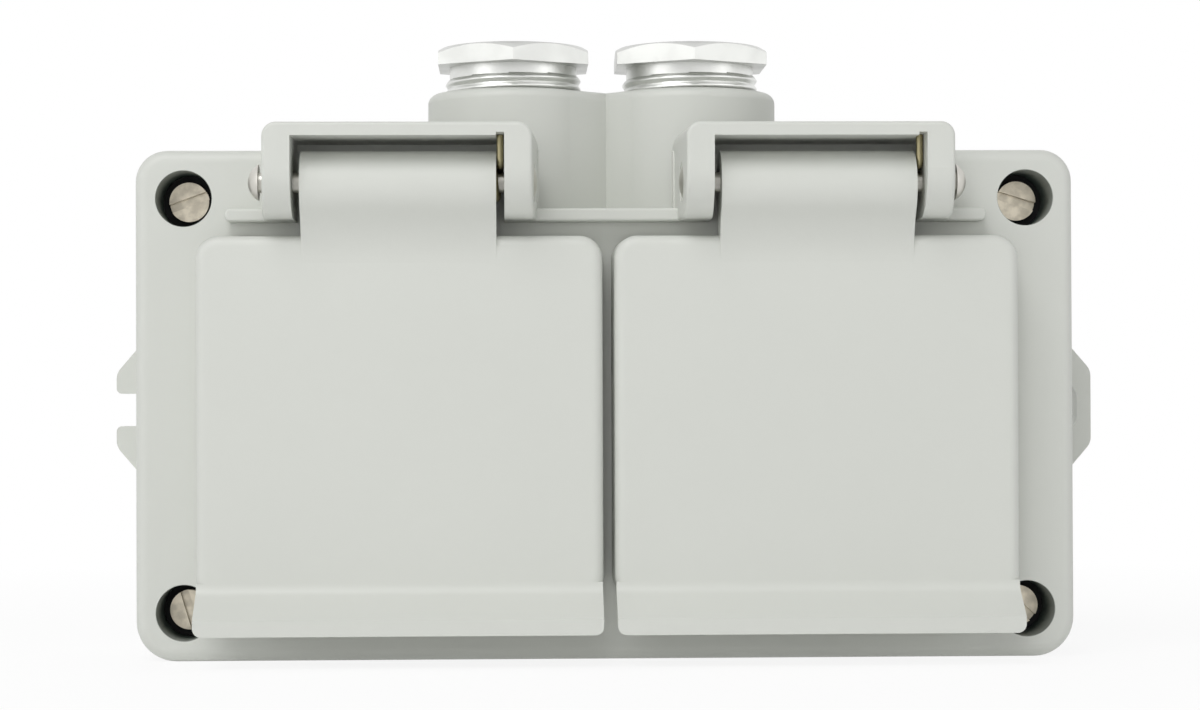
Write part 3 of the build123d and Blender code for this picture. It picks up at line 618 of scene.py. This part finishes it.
def grid_piece(
    name: str, points: np.ndarray, finish: Finish, wrap_rows: bool, sharp: float
) -> bpy.types.Object:
    """Make a piece from a grid of points that closes round along its columns.

    Args:
        name: The piece's name.
        points: Places in metres, shaped rows by columns by three.
        finish: The finish that the piece wears.
        wrap_rows: Whether the last row joins the first. If not, both end rows get a cap.
        sharp: Edges that turn by more than this angle, in degrees, stay crisp.

    Returns:
        The piece, at the origin, with its place in its mesh.
    """
    rows, columns, _ = points.shape
    row = np.arange(rows if wrap_rows else rows - 1)[:, None]
    column = np.arange(columns)[None, :]
    here = row * columns
    above = (row + 1) % rows * columns
    beside = (column + 1) % columns
    quads = np.stack([here + column, here + beside, above + beside, above + column], axis=-1)
    faces = quads.reshape(-1, 4).tolist()
    if not wrap_rows:
        ring = np.arange(columns)
        faces += [ring[::-1].tolist(), (ring + (rows - 1) * columns).tolist()]
    mesh = bpy.data.meshes.new(name)
    mesh.from_pydata(points.reshape(-1, 3).tolist(), [], faces)
    mesh.validate()
    mesh.polygons.foreach_set("use_smooth", np.ones(len(mesh.polygons), dtype=bool))
    mesh.set_sharp_from_angle(angle=math.radians(sharp))
    mesh.materials.append(finish.material())
    piece = bpy.data.objects.new(name, mesh)
    bpy.context.scene.collection.objects.link(piece)
    return piece


@dataclass
class CableGland:
    """One hollow gland screw, with the thread that its solid leaves plain."""

    side: Side
    flats: float = 27.0 * MM
    crown_radius: float = 13.1 * MM
    crown_slope: float = 30.0
    neck_radius: float = 11.55 * MM
    crest_radius: float = 12.3 * MM
    thread_pitch: float = 1.5 * MM
    thread_start: float = 2.7 * MM
    thread_steepness: float = 1.15
    root_share: float = 0.4
    back_turn: float = 0.25
    run_out_turn: float = 0.12
    foot_taper: float = 0.8 * MM
    bore_radius: float = 9.0 * MM
    mouth_chamfer: float = 0.5 * MM
    columns: int = 180
    steps_per_turn: int = 10
    sharp: float = 32.0
    body: Body = Body.HOUSING
    slot: str = "plated_brass"

    @property
    def node(self) -> str:
        """The solid that the threaded screw stands for."""
        return f"gland_screw_{self.side.value}"

    def surface(self) -> np.ndarray:
        """Work out the screw's surface as a closed ring of profiles.

        Each column is the profile at one angle round the axis: up the bore, out over the crown,
        down a flat of the hexagon, in under the head, down the neck and the thread to the foot.

        Returns:
            Places in metres, shaped rows by columns by three.
        """
        low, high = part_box(self.node)
        turn = np.linspace(0.0, FULL_TURN, self.columns, endpoint=False)
        head_radii, head_levels = self._head(turn, high.z, low.z)
        thread_radii, thread_levels = self._thread(turn, high.z - HEX_HEIGHT, low.z)
        radii = np.concatenate([head_radii, thread_radii])
        return track(
            (low.x + high.x) / 2 + radii * np.cos(turn),
            (low.y + high.y) / 2 + radii * np.sin(turn),
            np.concatenate([head_levels, thread_levels]),
        )

    def _head(self, turn: np.ndarray, top: float, foot: float) -> tuple[np.ndarray, np.ndarray]:
        """Work out the bore and the hexagon.

        The hexagon's radius at an angle is half its flats over the cosine of the angle from the
        middle of the nearest flat. The first flat faces right, so a corner points to the front.
        The crown drops by the radius past its rim times its slope.

        Args:
            turn: The angles round the axis.
            top: The height of the screw's top.
            foot: The height of the screw's foot.

        Returns:
            The radii and the heights, shaped rows by columns.
        """
        side = FULL_TURN / HEX_SIDES
        from_flat = np.mod(turn + side / 2.0, side) - side / 2.0
        hexagon = self.flats / 2.0 / np.cos(from_flat)
        crown_drop = (hexagon - self.crown_radius) * math.tan(math.radians(self.crown_slope))
        hex_foot = top - HEX_HEIGHT
        level = np.ones_like(turn)
        profile = [
            (self.bore_radius * level, foot * level),
            (self.bore_radius * level, (top - self.mouth_chamfer) * level),
            ((self.bore_radius + self.mouth_chamfer) * level, top * level),
            (self.crown_radius * level, top * level),
            (hexagon, top - crown_drop),
            (hexagon, hex_foot * level),
            (self.neck_radius * level, hex_foot * level),
        ]
        radii, levels = (np.array(rows) for rows in zip(*profile))
        return radii, levels

    def _thread(
        self, turn: np.ndarray, hex_foot: float, foot: float
    ) -> tuple[np.ndarray, np.ndarray]:
        """Work out the neck and the thread below the hexagon.

        The thread starts at the back, and its upper edge climbs one pitch in each turn. Its radius
        is the neck's plus a triangle wave of the depth below that edge over the pitch, steepened,
        cut off flat at the crest and raised by a share at the root. The first strand runs out into
        the neck over the last share of its turn.

        Args:
            turn: The angles round the axis.
            hex_foot: The height of the hexagon's underside.
            foot: The height of the screw's foot.

        Returns:
            The radii and the heights, shaped rows by columns.
        """
        thread_top = hex_foot - self.thread_start + self.thread_pitch
        turns = (thread_top - foot) / self.thread_pitch
        heights = np.linspace(thread_top, foot, int(turns * self.steps_per_turn))[:, None]
        share = np.mod(turn / FULL_TURN - self.back_turn, 1.0)[None, :]
        below = (thread_top - heights) / self.thread_pitch - 1.0 + share
        wave = 1.0 - np.abs(2.0 * np.mod(below, 1.0) - 1.0)
        wave = np.minimum(wave * self.thread_steepness, 1.0)
        wave = self.root_share + (1.0 - self.root_share) * wave
        first = np.where(below < 1.0, np.clip((1.0 - share) / self.run_out_turn, 0.0, 1.0), 1.0)
        taper = np.clip((heights - foot) / self.foot_taper, 0.0, 1.0)
        rise = np.where(below > 0.0, wave * first * taper, 0.0)
        radii = self.neck_radius + (self.crest_radius - self.neck_radius) * rise
        return radii, np.broadcast_to(heights, radii.shape)

    def build(self, finish: Finish) -> None:
        """Make the threaded screw in place of its plain solid.

        Args:
            finish: The finish that the screw wears.
        """
        upward = self.surface()[::-1]
        piece = grid_piece(f"threaded_{self.node}", upward, finish, wrap_rows=True, sharp=self.sharp)
        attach(piece, self.body.value)
        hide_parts(self.node)
        log.info("%s made", piece.name)


@dataclass
class BossWeb:
    """The cast web that fills the groove between the gland bosses with two flat flanks."""

    boss_radius: float = 15.5 * MM
    boss_height: float = 22.1 * MM
    rim_round: float = 1.8 * MM
    left_lean: float = 40.0
    right_lean: float = 46.0
    deepest_lean: float = 80.0
    bury: float = 0.8 * MM
    top_drop: float = 0.02 * MM
    arc_steps: int = 4
    rim_steps: int = 7
    sharp: float = 30.0
    body: Body = Body.HOUSING
    slot: str = "grey_casting"

    def surface(self) -> np.ndarray:
        """Work out the web as a stack of closed rings.

        Each flank leaves its boss along the tangent at that flank's lean, so the distance in front
        of the gland axes is the boss's radius less the way from its axis times the sine of the
        lean, over the cosine of the lean. The flanks meet where their distances are equal. The
        ring closes along arcs inside the walls of the bosses. At the top the bosses' radius
        shrinks along a quarter circle, as their rims do.

        Returns:
            Places in metres, shaped rows by columns by three.
        """
        left_low, left_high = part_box("gland_screw_left")
        right_low, right_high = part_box("gland_screw_right")
        left_x = (left_low.x + left_high.x) / 2
        right_x = (right_low.x + right_high.x) / 2
        axis_y = (left_low.y + left_high.y) / 2
        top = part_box("rear_housing")[1].z - self.top_drop
        roll = np.linspace(0.0, QUARTER_TURN, self.rim_steps)
        inset = np.concatenate([[0.0], self.rim_round * (1.0 - np.cos(roll))])
        level = np.concatenate(
            [[top - self.boss_height], top - self.rim_round * (1.0 - np.sin(roll))]
        )
        across, out = self._rings((self.boss_radius - inset)[:, None], (right_x - left_x) / 2)
        return track((left_x + right_x) / 2 + across, axis_y - out, level[:, None])

    def _rings(self, radius: np.ndarray, half: float) -> tuple[np.ndarray, np.ndarray]:
        """Work out the rings about the point midway between the gland axes.

        Args:
            radius: The bosses' radius at each ring, shaped rows by one.
            half: Half the distance between the gland axes.

        Returns:
            The places to the right and the distances to the front, shaped rows by columns.
        """
        inner = radius - self.bury
        left, right = math.radians(self.left_lean), math.radians(self.right_lean)
        deepest = math.radians(self.deepest_lean)
        meet_x = (
            math.cos(right) * (radius - half * math.sin(left))
            - math.cos(left) * (radius - half * math.sin(right))
        ) / math.sin(left + right)
        meet_out = (radius - (meet_x + half) * math.sin(left)) / math.cos(left)
        right_arc = np.linspace(right, deepest, self.arc_steps)
        left_arc = np.linspace(deepest, left, self.arc_steps)
        across = [
            radius * math.sin(left) - half,
            meet_x,
            half - radius * math.sin(right),
            half - inner * np.sin(right_arc),
            inner * np.sin(left_arc) - half,
        ]
        out = [
            radius * math.cos(left),
            meet_out,
            radius * math.cos(right),
            inner * np.cos(right_arc),
            inner * np.cos(left_arc),
        ]
        return np.concatenate(across, axis=1), np.concatenate(out, axis=1)

    def build(self, finish: Finish) -> None:
        """Make the web on the housing.

        Args:
            finish: The finish that the web wears.
        """
        piece = grid_piece("boss_web", self.surface(), finish, wrap_rows=False, sharp=self.sharp)
        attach(piece, self.body.value)
        log.info("%s made", piece.name)


@dataclass
class LidSpring:
    """One torsion spring: close coils round the hinge pin, a leg at one end and a tang at the other."""

    side: Side
    wire: float = 1.2 * MM
    coil_radius: float = 2.7 * MM
    pitch: float = 1.26 * MM
    bend: float = 0.9 * MM
    tang: float = 3.0 * MM
    ring: int = 16
    steps_per_turn: int = 44
    straight_steps: int = 10
    bend_steps: int = 9
    sharp: float = 60.0
    slot: str = "spring_steel"

    @property
    def node(self) -> str:
        """The solid that the wound spring stands for."""
        return f"lid_spring_{self.side.value}"

    def build(self, finish: Finish) -> None:
        """Wind the spring in place of its plain solid.

        Args:
            finish: The finish that the wire wears.
        """
        low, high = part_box(self.node)
        wound = self._tube(*self._path())
        piece = grid_piece(f"wound_{self.node}", wound, finish, wrap_rows=False, sharp=self.sharp)
        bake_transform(piece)
        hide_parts(self.node)
        log.info("%s made", piece.name)

    def _path(self) -> tuple[np.ndarray, np.ndarray]:
        """Lay the wire's centre line: down the leg, back to the coils, round them and along the tang.

        The leg turns back to the top of the coils through a quarter circle. The coils are a helix
        about the hinge axis: the angle from the top grows evenly with the way along X, and it ends
        a bend short of the bottom, where another quarter circle turns the wire along X.

        Returns:
            The points of the line, and the direction across the wire at each of them.
        """
        low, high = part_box(self.node)
        pin_low, pin_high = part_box(f"hinge_pin_{self.side.value}")
        axis_y = (pin_low.y + pin_high.y) / 2
        axis_z = (pin_low.z + pin_high.z) / 2
        leg_x = high.x - self.wire / 2
        leg_y = low.y + self.wire / 2
        coil_top = axis_z + self.coil_radius
        bend = np.linspace(0.0, QUARTER_TURN, self.bend_steps)
        fall = np.linspace(high.z, coil_top + self.bend, self.straight_steps, endpoint=False)
        leg = track(leg_x, leg_y, fall)
        knee = track(
            leg_x,
            leg_y + self.bend * (1.0 - np.cos(bend)),
            coil_top + self.bend * (1.0 - np.sin(bend)),
        )
        back = np.linspace(leg_y + self.bend, axis_y, self.straight_steps)[1:-1]
        bridge = track(leg_x, back, coil_top)
        whole = math.floor((leg_x - low.x - self.tang - self.bend) / self.pitch - 0.5)
        last = (whole + 0.5) * FULL_TURN - self.bend / self.coil_radius
        angle = np.linspace(0.0, last, int(last / FULL_TURN * self.steps_per_turn))
        coil = track(
            leg_x - angle / FULL_TURN * self.pitch,
            axis_y + self.coil_radius * np.sin(angle),
            axis_z + self.coil_radius * np.cos(angle),
        )
        turn_in = track(
            coil[-1, 0] - self.bend * (1.0 - np.cos(bend)),
            coil[-1, 1] - self.bend * np.sin(bend),
            np.linspace(coil[-1, 2], axis_z - self.coil_radius, self.bend_steps),
        )[1:]
        run = np.linspace(turn_in[-1, 0], low.x, self.straight_steps)[1:]
        tang = track(run, turn_in[-1, 1], turn_in[-1, 2])
        path = np.concatenate([leg, knee, bridge, coil, turn_in, tang])
        along = np.gradient(path, axis=0)
        across = np.cross(along, (1.0, 0.0, 0.0))
        across[-len(turn_in) - len(tang):] = (0.0, 0.0, 1.0)
        return path, across

    def _tube(self, path: np.ndarray, across: np.ndarray) -> np.ndarray:
        """Carry the wire's round section along its centre line.

        Args:
            path: The points of the centre line.
            across: A direction square to the line at each point.

        Returns:
            Places in metres, shaped points by ring by three.
        """
        along = np.gradient(path, axis=0)
        along /= np.linalg.norm(along, axis=1, keepdims=True)
        first = np.cross(across, along)
        first /= np.linalg.norm(first, axis=1, keepdims=True)
        second = np.cross(along, first)
        turn = np.linspace(0.0, FULL_TURN, self.ring, endpoint=False)
        section = (
            np.cos(turn)[None, :, None] * first[:, None, :]
            + np.sin(turn)[None, :, None] * second[:, None, :]
        )
        return path[:, None, :] + self.wire / 2 * section


@dataclass
class Enclosure:
    """The cast box, its cover, both lids and the hardware that holds them together."""

    castings: tuple[str, ...] = ("rear_housing", "lid_left", "lid_right")
    covers: tuple[str, ...] = ("front_cover",)
    screws: tuple[str, ...] = ("cover_screws",)
    pins: tuple[str, ...] = ("hinge_pin_left", "hinge_pin_right")
    seals: tuple[str, ...] = (
        "cover_gasket", "screw_seals", "lid_gasket_left", "lid_gasket_right",
        "gland_seal_left", "gland_seal_right",
    )
    washers: tuple[str, ...] = ("gland_washer_left", "gland_washer_right")

    def dress(self) -> None:
        """Put the paint, plating and rubber on the solids."""
        dress(self.castings, GREY_PAINT)
        dress(self.covers, COVER_PAINT)
        dress(self.screws, SCREW_NICKEL)
        dress(self.pins, PIN_STEEL)
        dress(self.seals, SEAL_RUBBER)
        dress(self.washers, GLAND_NICKEL)


@dataclass
class SocketInsert:
    """One socket behind a lid: its cup, block, contacts, earth clip and screws."""

    side: Side

    def dress(self) -> None:
        """Put the mouldings, brass and plating on the solids."""
        name = self.side.value
        dress((f"socket_cup_{name}",), INSERT_MOULDING)
        dress((f"terminal_block_{name}",), BLOCK_MOULDING)
        dress((f"line_contact_{name}", f"neutral_contact_{name}"), BARE_BRASS)
        dress((f"earth_clip_{name}",), CLIP_NICKEL)
        dress((f"cup_screw_{name}", f"terminal_screws_{name}"), SCREW_NICKEL)


@dataclass
class EarthTerminal:
    """The earth screw and washer on the floor of the box, with the screws of the blocks."""

    nodes: tuple[str, ...] = ("earth_screw", "earth_washer", "block_screws")

    def dress(self) -> None:
        """Put the plating on the solids."""
        dress(self.nodes, SCREW_NICKEL)


@dataclass
class SoftLight:
    """One soft box: an area lamp that hangs at a bearing and a height round the object."""

    name: str
    bearing: float
    lift: float
    reach: float
    width: float
    height: float
    power: float
    mirrored: bool = True
    aim: Point = (0.0, -0.03, 0.0)

    def build(self) -> None:
        """Hang the lamp, with its bearing counted to the right of the front, and point it."""
        data = bpy.data.lights.new(self.name, "AREA")
        data.shape = "RECTANGLE"
        data.size = self.width
        data.size_y = self.height
        data.energy = self.power
        lamp = bpy.data.objects.new(self.name, data)
        bearing, lift = math.radians(self.bearing), math.radians(self.lift)
        away = Vector(
            (math.sin(bearing) * math.cos(lift), -math.cos(bearing) * math.cos(lift), math.sin(lift))
        )
        lamp.location = Vector(self.aim) + away * self.reach
        lamp.rotation_mode = "QUATERNION"
        lamp.rotation_quaternion = away.to_track_quat("Z", "Y")
        lamp.visible_glossy = self.mirrored
        bpy.context.scene.collection.objects.link(lamp)
        log.info("%s hung", self.name)


@dataclass
class Studio:
    """A pale floor, soft lamps, a white surround and a camera at the object's front."""

    camera_place: Point = (-0.0169, -0.546, -0.0005)
    camera_turn: float = 1.765
    camera_level: float = 90.0
    camera_lift: float = 0.665
    camera_roll: float = -0.217
    camera_lens: float = 86.04
    camera_sensor: float = 36.0
    camera_shift: tuple[float, float] = (1.8 / PHOTO_WIDTH, 18.8 / PHOTO_WIDTH)
    floor_half: float = 4.0
    floor_fade: float = 0.3
    floor_hold: float = 0.2
    floor_tone: Colour = (0.9, 0.9, 0.9, 1.0)
    floor_glow: float = 0.1
    surround: Colour = (1.0, 1.0, 1.0, 1.0)
    surround_light: float = 0.31
    lamps: list[SoftLight] = field(
        default_factory=lambda: [
            SoftLight(
                "top_lamp", bearing=-25.0, lift=52.0, reach=1.1, width=0.6, height=0.6, power=4.4
            ),
            SoftLight(
                "left_lamp", bearing=-55.0, lift=14.0, reach=1.1, width=0.5, height=1.2, power=1.95
            ),
            SoftLight(
                "right_lamp", bearing=59.0, lift=14.0, reach=1.1, width=0.5, height=1.2, power=1.6
            ),
            SoftLight(
                "front_lamp", bearing=-8.0, lift=4.0, reach=1.2, width=0.5, height=0.5, power=2.5,
                mirrored=False,
            ),
            SoftLight(
                "back_lamp", bearing=180.0, lift=35.0, reach=1.3, width=0.8, height=0.8, power=4.0,
                mirrored=False,
            ),
        ]
    )

    def build(self) -> None:
        """Set up the whole studio."""
        self._surround()
        self._floor()
        for lamp in self.lamps:
            lamp.build()
        self._camera()
        bpy.context.scene.view_settings.view_transform = "Standard"

    @staticmethod
    def _seen(recipe: Recipe) -> Wire:
        """One where a ray comes from the camera, a mirror or glass, and nought elsewhere."""
        camera = recipe.node("ShaderNodeLightPath", out="Is Camera Ray")
        glossy = recipe.node("ShaderNodeLightPath", out="Is Glossy Ray")
        through = recipe.node("ShaderNodeLightPath", out="Is Transmission Ray")
        return (camera + glossy + through).at_most(1.0)

    def _surround(self) -> None:
        """Make the world white to look at and softer as a light."""
        world = bpy.data.worlds.new("white_surround")
        bpy.context.scene.world = world
        recipe = Recipe(world)
        light = recipe.node(
            "ShaderNodeBackground", sockets={"Color": self.surround, "Strength": self.surround_light}
        )
        white = recipe.node(
            "ShaderNodeBackground", sockets={"Color": self.surround, "Strength": 1.0}
        )
        mixed = recipe.node(
            "ShaderNodeMixShader", sockets={0: self._seen(recipe), 1: light, 2: white}
        )
        recipe.finish(mixed, "ShaderNodeOutputWorld")

    def _floor(self) -> None:
        """Lay a faintly lit floor, with a shadow near the object and plain white far off."""
        ground = CAD_BOX[0].z
        corners = np.array([[-1.0, -1.0], [1.0, -1.0], [1.0, 1.0], [-1.0, 1.0]]) * self.floor_half
        points = np.column_stack([corners, np.full(4, ground)])
        mesh = bpy.data.meshes.new("pale_floor")
        mesh.from_pydata(points.tolist(), [], [[0, 1, 2, 3]])
        finish = bpy.data.materials.new("pale_floor")
        recipe = Recipe(finish)
        near = recipe.node(
            "ShaderNodeMapping",
            sockets={"Vector": recipe.place(), "Scale": (1.0 / self.floor_fade,) * 3},
        )
        close = recipe.node("ShaderNodeTexGradient", {"gradient_type": "SPHERICAL"}, {"Vector": near})
        matt = recipe.node("ShaderNodeBsdfDiffuse", sockets={"Color": self.floor_tone})
        glow = recipe.node(
            "ShaderNodeEmission", sockets={"Color": self.surround, "Strength": self.floor_glow}
        )
        lit = recipe.node("ShaderNodeAddShader", sockets={0: matt, 1: glow})
        white = recipe.node("ShaderNodeEmission", sockets={"Color": self.surround})
        plain = self._seen(recipe) * (1.0 - close * self.floor_hold)
        recipe.finish(recipe.node("ShaderNodeMixShader", sockets={0: plain, 1: lit, 2: white}))
        mesh.materials.append(finish)
        floor = bpy.data.objects.new("pale_floor", mesh)
        bpy.context.scene.collection.objects.link(floor)

    def _camera(self) -> None:
        """Stand the camera in front, a little to the left, with its frame raised to the glands.

        An unturned camera looks straight down, so it is tilted up to the level and then by its lift.
        """
        data = bpy.data.cameras.new("front_camera")
        data.lens = self.camera_lens
        data.sensor_width = self.camera_sensor
        data.sensor_fit = "HORIZONTAL"
        data.shift_x, data.shift_y = self.camera_shift
        camera = bpy.data.objects.new("front_camera", data)
        camera.location = self.camera_place
        level = Euler(
            (
                math.radians(self.camera_level + self.camera_lift),
                0.0,
                math.radians(-self.camera_turn),
            )
        )
        roll = Quaternion((0.0, 0.0, 1.0), math.radians(self.camera_roll))
        camera.rotation_mode = "QUATERNION"
        camera.rotation_quaternion = level.to_quaternion() @ roll
        bpy.context.scene.collection.objects.link(camera)
        bpy.context.scene.camera = camera


def main() -> None:
    """Build the object's finishes and fine pieces, then the studio round it."""
    logging.basicConfig(level=logging.INFO, format="%(name)s: %(message)s")
    Enclosure().dress()
    BossWeb().build(GREY_PAINT)
    EarthTerminal().dress()
    for side in Side:
        SocketInsert(side).dress()
        CableGland(side).build(GLAND_NICKEL)
        LidSpring(side).build(SPRING_OLIVE)
    Studio().build()


if __name__ == "__main__":
    main()
